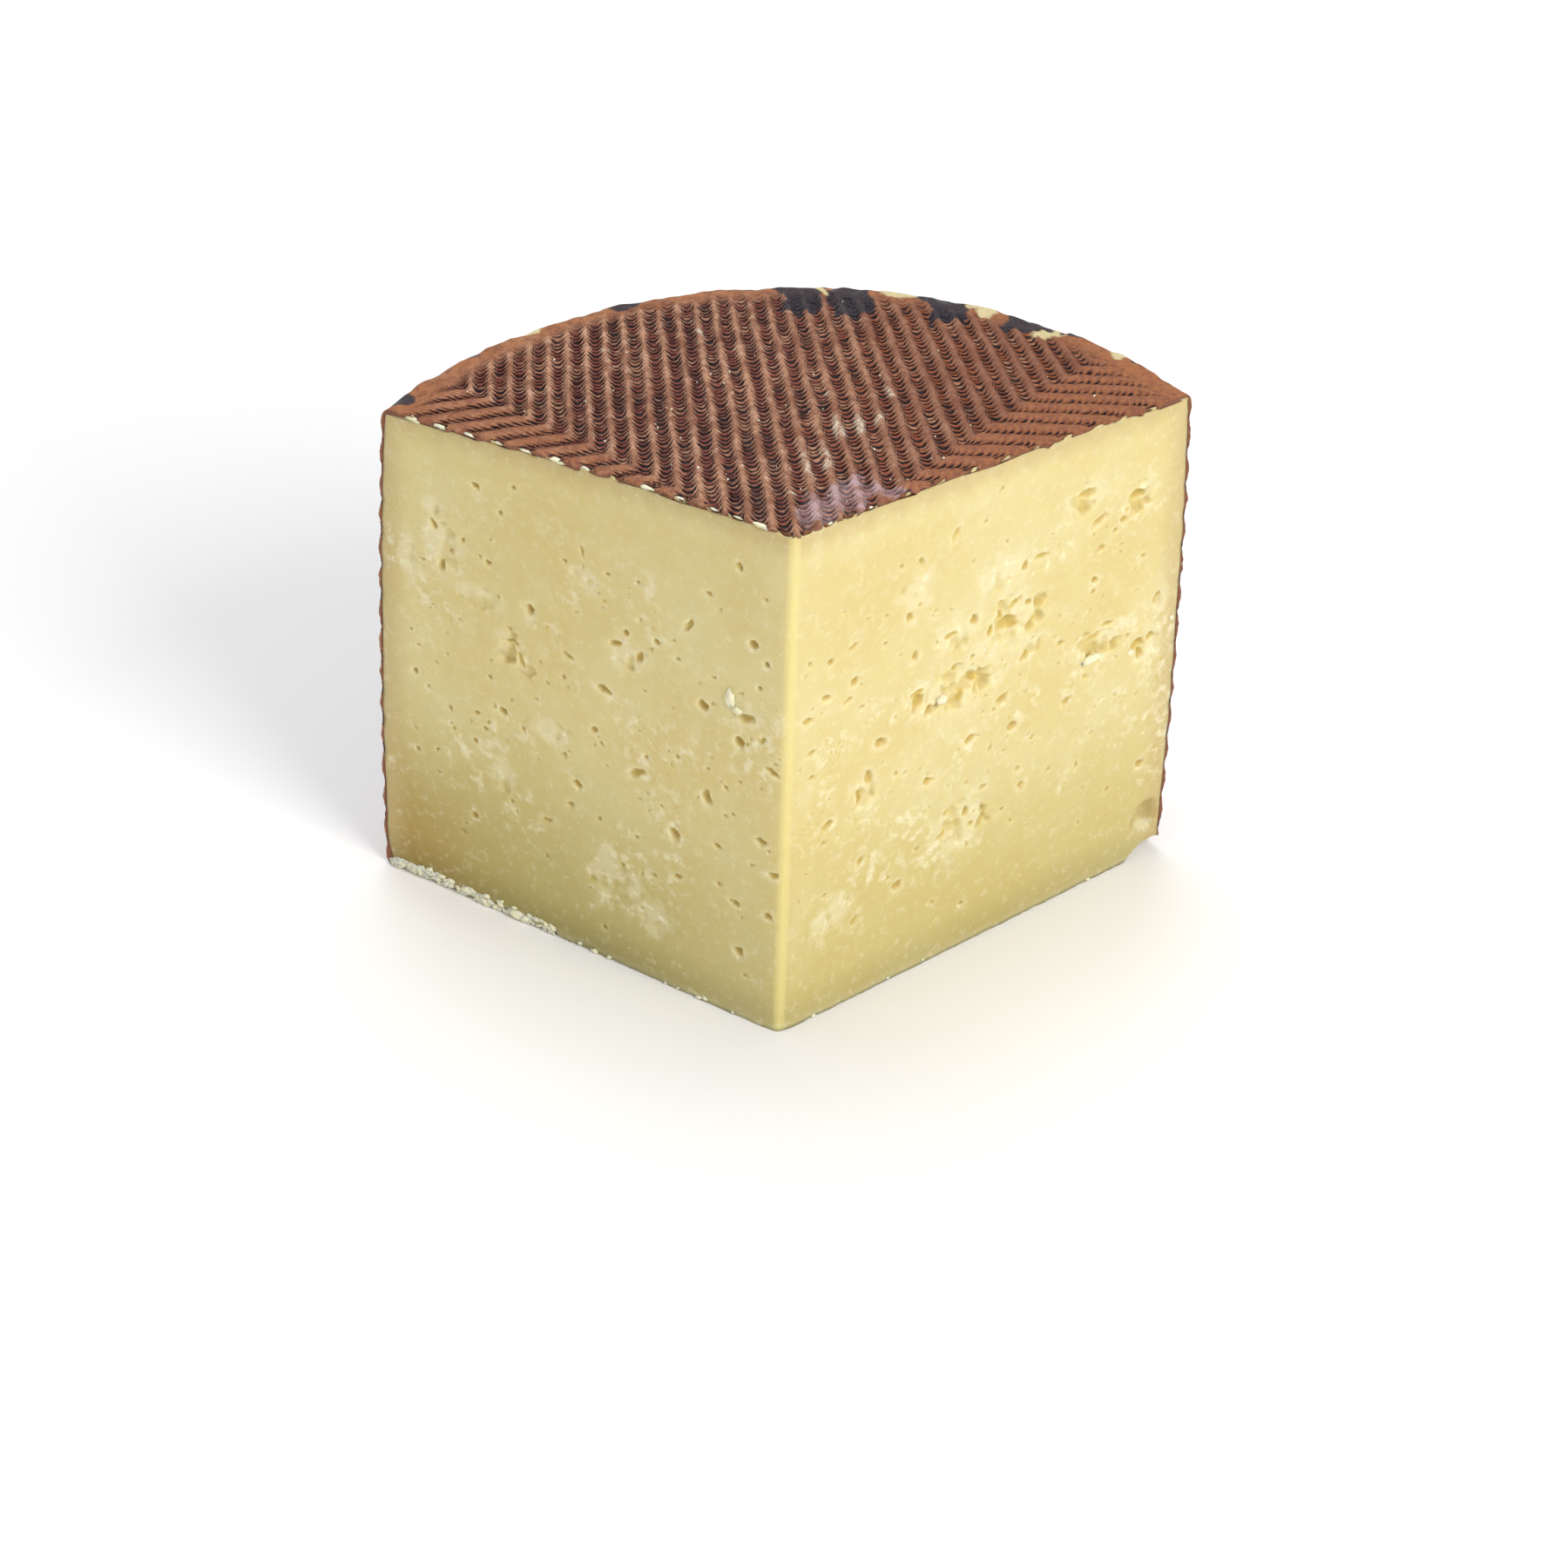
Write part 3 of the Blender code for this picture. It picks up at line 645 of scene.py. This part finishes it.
# patches on the top: place across and away from the tip, and half sizes
DARK_PATCHES = (
    (3.1, 90.5, 3.7, 7.6), (13.3, 90.0, 4.0, 8.4), (31.9, 86.5, 4.4, 7.2), (46.4, 81.5, 3.6, 5.2),
    (56.4, 77.0, 2.4, 3.0), (67.5, 67.5, 2.0, 2.6), (-31.1, 88.5, 2.8, 2.6),
    (-41.6, 85.0, 1.4, 2.4), (-61.5, 73.0, 2.3, 1.6), (-67.8, 66.5, 1.3, 2.0),
    (-72.9, 58.5, 1.4, 2.6), (-12.0, 94.0, 5.0, 0.9),
)
BARE_PATCHES = (
    (37.8, 85.5, 2.6, 3.4), (7.9, 92.0, 1.0, 2.6), (50.8, 77.8, 2.4, 3.6), (24.0, 91.0, 5.0, 1.7),
    (64.0, 69.5, 2.6, 2.0), (53.3, 76.5, 1.2, 1.8), (-50.0, 80.6, 3.0, 0.8),
)
SCUFFS = (
    (8.2, 37.1, 0.9, 3.4), (10.6, 36.4, 0.8, 2.6), (13.0, 37.1, 1.1, 3.4), (2.2, 25.5, 0.8, 3.8),
    (5.6, 26.1, 1.3, 3.8), (16.0, 40.3, 1.0, 2.2), (18.5, 50.8, 0.8, 1.9), (-35.7, 70.4, 0.7, 1.0),
    (-15.5, 75.3, 0.5, 1.4), (4.0, 19.5, 0.8, 1.8), (0.5, 14.5, 0.7, 1.6), (7.0, 50.0, 0.8, 0.8),
)
# a glossy film near the tip, whose lilac colour is a painted sheen
FILM_PATCHES = (
    (7.3, 12.7, 1.4, 4.3), (11.3, 13.8, 3.0, 6.0), (1.5, 7.3, 1.0, 3.0), (5.0, 8.6, 3.4, 4.6),
    (18.2, 14.6, 3.0, 1.6),
)


def patches(x, y, z, places, warp, soft, seed):
    """How far a point is inside any of the patches, with wandering outlines."""
    found = np.zeros_like(x)
    wander = lumps(x, y, z, 2.4, seed) + 0.5 * lumps(x, y, z, 0.9, seed + 1)
    x = x + 3.0 * lumps(x, y, z, 4.5, seed + 2)
    for at_x, at_y, wide, deep in places:
        reach = (np.abs((x - at_x) / wide) ** 3 + np.abs((y - at_y) / deep) ** 3) ** (1 / 3)
        reach = reach + warp * wander
        found = np.maximum(found, 1 - smooth(reach, 1 - soft, 1 + soft))
    return found


def place_top(u, v, w):
    """The printed skin of the top, with its ragged edge and where each patch lies."""
    x, y = sector(u, v, TOP_REACH)
    drift = 0.25 * lumps(x, y, 0, 14.0, 11) + 0.12 * lumps(x, y, 0, 4.0, 10)
    count, along, groove, margin, outward, ribs = press(x + drift, y)
    uneven = 1 + 0.3 * lumps(x, y, 0, 6.0, 12)
    relief = RIDGE_RELIEF * margin * uneven * (0.5 - groove) * (0.94 - 0.35 * outward)
    relief = relief + (0.26 - 0.12 * outward) * margin * ribs * smooth(groove, 0.15, 0.8)
    relief = relief + 0.16 * lumps(x, y, 0, 5.0, 14) + 0.18 * lumps(x, y, 0, 1.6, 15)
    rimward = smooth(TOP_REACH - np.hypot(x, y), 0, 1.5)
    deepest = np.where(v * (1 - v) * u * (1 - u) > 1e-6, 1.0, 0.0)
    z = top_height(x, y) + relief * rimward * (1 - w * deepest) - 0.06 - w * (RIND + deepest)
    z = z + rim_bumps(x, y) * smooth(np.hypot(x, y), KNOCKED_FROM, KNOCKED_TO)
    # the knife leaves the skin's edge ragged: crests hang over the cut, grooves draw back
    edge = 1 - smooth(v * np.maximum(np.sqrt(np.maximum(TOP_REACH**2 - x**2, 0)), 1), 0.0, 0.9)
    fray = lumps(x, 0, 0, 1.1, 16) + 0.5 * lumps(x, 0, w, 0.5, 17)
    proud = edge * (0.40 - 0.85 * groove * margin + 0.45 * fray) * (1 - 0.6 * w)
    proud = proud * smooth(TOP_REACH - np.hypot(x, y), 0.2, 4)
    z = z - edge * (1 - groove) * margin * (0.35 + 1.2 * np.maximum(fray, 0))
    side = np.sign(x) * np.minimum(np.abs(x) / 2, 1)
    x = x + side * math.cos(HALF_ANGLE) * proud
    y = np.maximum(y - math.sin(HALF_ANGLE) * proud, FOREMOST)
    dark = patches(x, y, z, DARK_PATCHES, 0.3, 0.08, 18)
    dark = smooth(dark + 0.5 * (groove - 0.5) * margin, 0.3, 0.6)
    bare = patches(x, y, z, BARE_PATCHES, 0.6, 0.12, 20)
    scuff = patches(x, y, z, SCUFFS, 0.6, 0.5, 22) * (1 - groove)
    film_and_sheen = patches(x, y, z, FILM_PATCHES, 0.45, 0.1, 24) * (1 - 0.5 * groove)
    x, y, z, moved = broken(x, y, np.minimum(z, TALLEST))
    bare = np.maximum(bare * (1 - dark), smooth(moved, 0.3, 0.9))
    return x, y, z, {
        "count": count, "along": along, "groove": groove * margin, "margin": margin,
        "dark": dark, "bare": bare, "scuff": scuff, "film_and_sheen": film_and_sheen, "outward": outward,
        "under": w + 0.35 * edge * groove,
    }


TAN = colour(190, 144, 114)
ROSY = colour(202, 164, 138)
RUSSET = colour(122, 72, 50)
AMBER = colour(160, 100, 58)
PLUM = colour(26, 8, 14)
UMBER = colour(126, 66, 52)
RUST = colour(150, 80, 46)
INK = colour(26, 27, 40)
BARE = colour(206, 192, 146)
SCUFF = colour(224, 214, 192)
CUT_EDGE = colour(132, 84, 56)
FILM_SHEEN = colour(188, 160, 166)

rind_finish, tree, shader, place = new_finish("rind", 0.55, 0.4)
groove = own(tree, "groove")
margin = own(tree, "margin")
outward = own(tree, "outward")
wide = spread(tree, mottle(tree, place, 38), 0.35, 0.65)
fine = mottle(tree, place, 700, 4.0, 0.7)
patchy = mottle(tree, place, 170, 3.0)
small = mottle(tree, place, 330, 3.0)
rightward = spread(tree, node(tree, "SeparateXYZ", {}, {"Vector": place}, out="X"), -0.02, 0.05)
# the crests, worn light, redder to the right, amber past the chevrons and on the margin
crest = blend(tree, 0.25 * wide + 0.55 * spread(tree, patchy, 0.44, 0.6), TAN, RUSSET)
crest = blend(tree, 0.6 * spread(tree, small, 0.52, 0.66), crest, ROSY)
crest = blend(tree, 0.78 * rightward, crest, RUSSET)
crest = blend(tree, 0.75 - 0.75 * margin, crest, AMBER)
crest = blend(tree, 0.65 * outward, crest, AMBER)
crest = blend(tree, 0.65 * spread(tree, fine, 0.45, 0.62), crest, RUSSET)
# ribs across the grooves, bowed like the strands that printed them
centred = own(tree, "count") - VALLEY
aside = node(tree, "Math", {"operation": "PINGPONG"}, {0: centred + 100.0, 1: 0.5})
strand = node(tree, "Math", {"operation": "ROUND"}, {0: centred})
step = node(tree, "Math", {"operation": "SINE"}, {0: strand * 2.4})
skew = RIB_SKEW * outward * (centred - strand)
phase = own(tree, "along") * (1 / RIB_PITCH) + RIB_BOW * aside * aside + skew + step
ribs = node(tree, "Math", {"operation": "SINE"}, {0: phase * (2 * math.pi)})
broken_rib = ribs + 2.0 * mottle(tree, place, 260, 2.0) - 1.0
# the grooves: dark between the ribs, uneven on them
strip = blend(tree, rightward, UMBER, RUST)
strip = blend(tree, 0.6 * spread(tree, mottle(tree, place, 210, 3.0), 0.5, 0.62), strip, TAN)
strip = blend(tree, 0.55 * spread(tree, mottle(tree, place, 150, 2.0), 0.5, 0.64), strip, PLUM)
deep = blend(tree, spread(tree, broken_rib, -0.2, 0.5), PLUM, strip)
inward = aside + 0.10 * broken_rib + 0.20 * fine + 0.22 * small - 0.15 + 0.12 * outward
inward = inward + 0.07 * rightward
flank = margin - margin * spread(tree, inward, 0.37, 0.47)
crest = blend(tree, 0.5 * flank, crest, RUSSET)
seam = outward * margin * spread(tree, 0.0 - broken_rib, 0.1, 0.9)
crest = blend(tree, 0.5 * seam, crest, UMBER)
hollow = margin - margin * spread(tree, inward, 0.30, 0.39)
# over both lie the scuffs, the bare and dark patches, the glossy film with its lilac painted sheen,
# and the cut edge
skin = blend(tree, hollow, crest, deep)
skin = blend(tree, own(tree, "scuff") * spread(tree, fine, 0.38, 0.6), skin, SCUFF)
skin = blend(tree, own(tree, "bare"), skin, BARE)
skin = blend(tree, 0.93 * own(tree, "dark"), skin, INK)
# painted sheen: the film's lilac colour stands for the reflection on its glossy coat
skin = blend(tree, own(tree, "film_and_sheen") * (0.3 + 0.5 * spread(tree, small, 0.42, 0.54)), skin, FILM_SHEEN)
skin = blend(tree, spread(tree, own(tree, "under"), 0.3, 0.7), skin, CUT_EDGE)
link(tree, skin, shader, "Base Color")
gloss = 0.62 - 0.18 * own(tree, "film_and_sheen") - 0.28 * own(tree, "dark") - 0.15 * own(tree, "scuff")
link(tree, gloss + 0.12 * fine, shader, "Roughness")
height = fine + 0.6 * mottle(tree, place, 1800, 3.0) + 0.4 * ribs * groove
link(tree, node(tree, "Bump", {}, {"Strength": 1.0, "Distance": 0.0006, "Height": height}),
     shader, "Normal")
let_light_in(shader, 0.06, (1.0, 0.4, 0.2), 0.0012)

top_rind = shape(sheet(TOP_CELLS, TOP_CUTS, 3), "top_rind", place_top)
top_rind.data.materials.append(rind_finish)
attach(top_rind, "root")

# The rind of the wall
# The same skin round the outside, printed by a plaited band: seven rows of slanting strands
# that turn back at each row, with dark channels between them.
WALL_CELLS = (25, 17)
WALL_CUTS = 12
WALL_KNOCKED_FROM, WALL_KNOCKED_TO = 96, 106
SHOULDER_START = math.asin((TOP_REACH - (RADIUS - SHOULDER)) / SHOULDER)


def place_wall(u, v, w):
    """The plaited skin from the top's edge over the shoulder and down to the base."""
    bearing = (2 * u - 1) * HALF_ANGLE
    shoulder_run = SHOULDER * (math.pi / 2 - SHOULDER_START)
    whole = shoulder_run + SHOULDER_HEIGHT
    run = v * whole
    turn = SHOULDER_START + np.clip(run, 0, shoulder_run) / SHOULDER
    z = np.where(run < shoulder_run, SHOULDER_HEIGHT + SHOULDER * np.cos(turn),
                 SHOULDER_HEIGHT - (run - shoulder_run))
    radius = np.where(run < shoulder_run, RADIUS - SHOULDER + SHOULDER * np.sin(turn),
                      wall_radius(np.clip(z, 0, SHOULDER_HEIGHT)))
    x, y = radius * np.sin(bearing), radius * np.cos(bearing)
    band = smooth(z, 1.0, 6.0) * smooth(SHOULDER_HEIGHT - z, -1.0, 5.0)
    strand = plait(bearing + 0.004 * lumps(x, y, z, 9.0, 31), z + 0.6 * lumps(x, y, z, 8.0, 32))
    channel = smooth(-strand, -0.2, 0.8) * band
    relief = 0.5 * STRAND_RELIEF * np.tanh(1.6 * strand) * band * (1 + 0.3 * lumps(x, y, z, 7, 33))
    relief = relief + (0.10 * lumps(x, y, z, 4.0, 34) + 0.05 * lumps(x, y, z, 1.2, 35)) * band
    tilt = np.where(run < shoulder_run, turn, math.pi / 2)
    inner = smooth((HALF_ANGLE - np.abs(bearing)) * RADIUS, 0.0, 2.0)
    out = relief * (1 - w * (0.5 + 0.5 * inner)) - w * (WALL_RIND + 0.5 * inner) - 0.06 * band
    x = x + np.sin(bearing) * np.sin(tilt) * out
    y = y + np.cos(bearing) * np.sin(tilt) * out
    z = np.clip(z + np.cos(tilt) * out, 0, None)
    z = z + 0.5 * w * (z < 1) + rim_bumps(x, y) * smooth(z, WALL_KNOCKED_FROM, WALL_KNOCKED_TO)
    edge = 1 - smooth((HALF_ANGLE - np.abs(bearing)) * RADIUS, 0.0, 0.8)
    proud = edge * (0.12 + 0.25 * lumps(0, 0, z, 1.3, 36)) * (1 - w) * smooth(z, 2, 8)
    x = x + np.sign(bearing) * math.cos(HALF_ANGLE) * proud
    y = y - math.sin(HALF_ANGLE) * proud
    low_end = z + 2.2 * lumps(x, y, 0, 5.0, 37) + 0.8 * lumps(x, y, 0, 1.5, 38)
    dark = patches(x, y, z, DARK_PATCHES, 0.45, 0.08, 18) * smooth(low_end, 104.0, 105.5)
    bare = patches(x, y, z, BARE_PATCHES, 0.6, 0.12, 20) * smooth(low_end, 106, 108)
    x, y, z, moved = broken(x, y, z)
    bare = np.maximum(bare * (1 - dark), smooth(moved, 0.3, 0.9))
    zeros = np.zeros_like(x)
    return x, y, z, {
        "count": VALLEY + 0.5 - 0.42 * channel, "along": 0.7 * z, "groove": channel, "margin": band,
        "dark": dark, "bare": bare, "scuff": zeros, "film_and_sheen": zeros, "outward": zeros,
        "under": w,
    }


wall_rind = shape(sheet(WALL_CELLS, WALL_CUTS, 3), "wall_rind", place_wall)
wall_rind.data.materials.append(rind_finish)
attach(wall_rind, "root")

# The rind of the base
# The flat pressed underside that the wedge stands on. It has the same print as the top, worn
# low, and it stops a little short of the crumbling lower edges of the cut faces.
BASE_CELLS = (18, 13)
BASE_CUTS = 9
BASE_INSET = 3.0
BASE_REACH = RADIUS - BASE_ROUNDING - 0.2
BASE_RELIEF = 0.35
BASE_THICKNESS = 0.9


def place_base(u, v, w):
    """The worn print of the underside."""
    x, y = sector(u, v, BASE_REACH, BASE_INSET)
    count, along, groove, margin, outward, _ = press(x, y)
    z = BASE_RELIEF * groove * margin * (1 - w) + BASE_THICKNESS * w
    x, y, z, moved = broken(x, y, z)
    zeros = np.zeros_like(x)
    return x, y, z, {
        "count": count, "along": along, "groove": groove * margin, "margin": margin,
        "dark": zeros, "bare": smooth(moved, 0.1, 0.6), "scuff": zeros, "film_and_sheen": zeros,
        "outward": outward, "under": w,
    }


base_rind = shape(sheet(BASE_CELLS, BASE_CUTS, 2), "base_rind", place_base)
base_rind.data.materials.append(rind_finish)
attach(base_rind, "root")

# The crumbs
# Loose bits of the same curd that the knife has left: slivers where it chipped the skin off the
# grooves' ends, a few flakes in torn places, a crumbly lip low on the left, salt-white specks.
CRUMB_SEED = 7
# slivers at the grooves' ends: side, the share of the grooves that has one, length
SLIVERS = ((-1, 0.75, 2.7), (1, 0.3, 1.2))
# single flakes: side, from the tip, above the base, half length, half height
FLAKES = (
    (-1, 13.4, 76.2, 1.1, 2.4), (1, 94.0, 57.5, 0.5, 0.6), (-1, 11.6, 73.9, 1.0, 0.7),
    (1, 74.0, 56.4, 2.6, 0.8), (1, 37.0, 64.0, 1.3, 0.9), (1, 84.0, 53.5, 0.9, 0.6),
)
# crumbs along the lower edges: side, from and to, how many, the largest, how high they climb
LIP = (
    (-1, 60, 92.5, 24, 1.7, 0.9), (-1, 54, 92.5, 100, 0.9, 2.6), (-1, 8, 56, 14, 0.7, 1.0),
    (1, 6, 85, 5, 0.5, 0.8),
)
SPECKS = 70
LOWEST_CRUMB = 0.02
CURD_CRUMB = colour(232, 220, 174)
WHITE_CRUMB = colour(248, 243, 222)


def face_point(side, along, up, out=0.0):
    """A point of a cut face in mm, and its unit vectors along the face and outwards."""
    run = Vector((side * math.sin(HALF_ANGLE), math.cos(HALF_ANGLE), 0))
    outward = Vector((side * math.cos(HALF_ANGLE), -math.sin(HALF_ANGLE), 0))
    return run * along + outward * out + Vector((0, 0, up)), run, outward


def add_crumb(bm, place, axes, halves, seed, detail=2):
    """One uneven crumb, its half sizes along the three axes."""
    verts = bmesh.ops.create_icosphere(bm, subdivisions=detail, radius=1.0)["verts"]
    for vertex in verts:
        vertex.co *= 1 + 0.7 * noise.noise(vertex.co * 1.7 + Vector((seed * 3.1, 0, 0)))
    frame_axes = Matrix([axis * half for axis, half in zip(axes, halves)]).transposed()
    bmesh.ops.transform(bm, matrix=Matrix.Translation(place) @ frame_axes.to_4x4(), verts=verts)


def groove_ends(side):
    """How far from the tip each groove of the print runs out over the cut."""
    along = np.arange(3.0, RADIUS - 3, 0.05)
    x, y = side * along * math.sin(HALF_ANGLE), along * math.cos(HALF_ANGLE)
    count, _, _, margin, _, _ = press(x, y)
    aside = np.abs((count - VALLEY + 0.5) % 1 - 0.5)
    middle = (aside[1:-1] < aside[:-2]) & (aside[1:-1] <= aside[2:]) & (aside[1:-1] < 0.1)
    return [float(at) for at, print_left in zip(along[1:-1][middle], margin[1:-1][middle])
            if print_left > 0.2]


draw = random.Random(CRUMB_SEED)
crumb_mesh = bmesh.new()
upward = Vector((0, 0, 1))
for side, share, length in SLIVERS:
    for at in groove_ends(side):
        if draw.random() > share:
            continue
        x, y = side * at * math.sin(HALF_ANGLE), at * math.cos(HALF_ANGLE)
        height = float(top_height(x, y)) - 0.75 * RIDGE_RELIEF
        middle, run, outward = face_point(side, at + draw.uniform(-0.4, 0.4), height, -0.2)
        size = draw.uniform(0.35, 1.1)
        add_crumb(crumb_mesh, middle, (run, outward, upward),
                  (length * size, 0.5 * size, 0.5 * size), draw.random() * 50)
for side, along, up, size, tall in FLAKES:
    middle, run, outward = face_point(side, along, up, -0.1)
    add_crumb(crumb_mesh, middle, (run, outward, upward), (size, 0.6, tall), along)
for side, low, high, count, largest, climb in LIP:
    for _ in range(count):
        size = draw.uniform(0.4, 1.0) * largest
        middle, run, outward = face_point(side, draw.uniform(low, high),
                                          0.6 * size + draw.triangular(0.0, climb, 0.2),
                                          -0.15 * size)
        tilt = draw.uniform(-0.8, 0.8)
        lengthwise = run * math.cos(tilt) + upward * math.sin(tilt)
        crosswise = upward * math.cos(tilt) - run * math.sin(tilt)
        add_crumb(crumb_mesh, middle, (lengthwise, outward, crosswise),
                  (1.2 * size, 0.6 * size, 0.65 * size), draw.random() * 50)
for _ in range(SPECKS):
    reach, bearing = draw.uniform(15, 88), draw.uniform(-0.85, 0.85)
    x, y = reach * math.sin(bearing), reach * math.cos(bearing)
    size = draw.uniform(0.10, 0.26)
    groove = float(press(np.array([x]), np.array([y]))[2][0])
    height = float(top_height(x, y)) + RIDGE_RELIEF * 0.47 * (1 - 2 * groove)
    add_crumb(crumb_mesh, Vector((x, y, height)), (Vector((1, 0, 0)), Vector((0, 1, 0)), upward),
              (size, 1.4 * size, 0.7 * size), draw.random() * 50, detail=1)


def place_crumbs(x, y, z):
    """The crumbs are made in mm already. None passes the tip, the top or the base."""
    return x, np.maximum(y, FOREMOST), np.clip(z, LOWEST_CRUMB, TALLEST), {}


crumbs = shape(crumb_mesh, "crumbs", place_crumbs)
crumb_finish, tree, shader, place = new_finish("crumb", 0.55, 0.3)
bit = blend(tree, mottle(tree, place, 260), CURD_CRUMB, WHITE_CRUMB)
link(tree, bit, shader, "Base Color")
let_light_in(shader, 0.5, (1.0, 0.65, 0.3), 0.001)
crumbs.data.materials.append(crumb_finish)
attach(crumbs, "root")

# The floor, the light and the camera
# A plain pale floor, one large soft key from the front right, a softer light from above, a weak
# fill from the left, and a long lens that looks down on the wedge as the photograph does.
KEY_WATTS, TOP_WATTS, LEFT_WATTS = 14.0, 10.0, 0.9
ROOM_LIGHT = 0.55
WARM, COOL = (1.0, 0.98, 0.95), (0.96, 0.98, 1.0)
LIGHTS_AIM = Vector((0, 0, 0.05))
FLOOR_HALF = 4.0
SENSOR_WIDTH = 36.0
LENS = 160.0
CAMERA_ELEVATION = math.radians(38.2)
CAMERA_TURN = math.radians(-0.93)
CAMERA_ROLL = math.radians(-0.47)
CAMERA_DISTANCE = 1355.7
AIM_HEIGHT = 31.7
AIM_BEHIND_TIP = 38.0
AIM_RIGHT = 2.12

floor_grid = bmesh.new()
bmesh.ops.create_grid(floor_grid, x_segments=1, y_segments=1, size=FLOOR_HALF)
floor_mesh = bpy.data.meshes.new("floor")
floor_grid.to_mesh(floor_mesh)
floor_grid.free()
floor = bpy.data.objects.new("floor", floor_mesh)
bpy.context.scene.collection.objects.link(floor)
floor_finish, _, shader, _ = new_finish("floor", 0.9, 0.1)
shader.inputs["Base Color"].default_value = colour(238, 238, 238)
floor.data.materials.append(floor_finish)


def area_light(name, place, size, power, tint):
    data = bpy.data.lights.new(name, "AREA")
    data.shape = "SQUARE"
    data.size = size
    data.energy = power
    data.color = tint
    made = bpy.data.objects.new(name, data)
    made.location = place
    made.rotation_euler = (LIGHTS_AIM - made.location).to_track_quat("-Z", "Y").to_euler()
    bpy.context.scene.collection.objects.link(made)


area_light("key", (0.75, -0.85, 1.0), 0.7, KEY_WATTS, WARM)
area_light("top_fill", (-0.1, 0.5, 1.4), 0.9, TOP_WATTS, COOL)
area_light("left_fill", (-1.1, -0.6, 0.7), 0.8, LEFT_WATTS, WARM)
world = bpy.data.worlds.new("soft_room")
world.use_nodes = True
room = world.node_tree.nodes["Background"]
room.inputs["Color"].default_value = (1.0, 1.0, 1.0, 1.0)
room.inputs["Strength"].default_value = ROOM_LIGHT
bpy.context.scene.world = world
bpy.context.scene.view_settings.view_transform = "Standard"

backward = Vector((math.sin(CAMERA_TURN) * math.cos(CAMERA_ELEVATION),
                   -math.cos(CAMERA_TURN) * math.cos(CAMERA_ELEVATION),
                   math.sin(CAMERA_ELEVATION)))
aim = Vector((TIP[0], TIP[1] + AIM_BEHIND_TIP, AIM_HEIGHT))
stand = aim + backward * CAMERA_DISTANCE
to_the_right = upward.cross(backward).normalized()
look = (aim + to_the_right * AIM_RIGHT - stand).normalized()
level_side = look.cross(upward).normalized()
level_up = level_side.cross(look)
turned_side = level_side * math.cos(CAMERA_ROLL) + level_up * math.sin(CAMERA_ROLL)
turned_up = level_up * math.cos(CAMERA_ROLL) - level_side * math.sin(CAMERA_ROLL)
camera_data = bpy.data.cameras.new("camera")
camera_data.lens = LENS
camera_data.sensor_width = SENSOR_WIDTH
camera = bpy.data.objects.new("camera", camera_data)
facing = Matrix((turned_side, turned_up, -look)).transposed().to_4x4()
camera.matrix_world = Matrix.Translation(stand * MM) @ facing
bpy.context.scene.collection.objects.link(camera)
bpy.context.scene.camera = camera
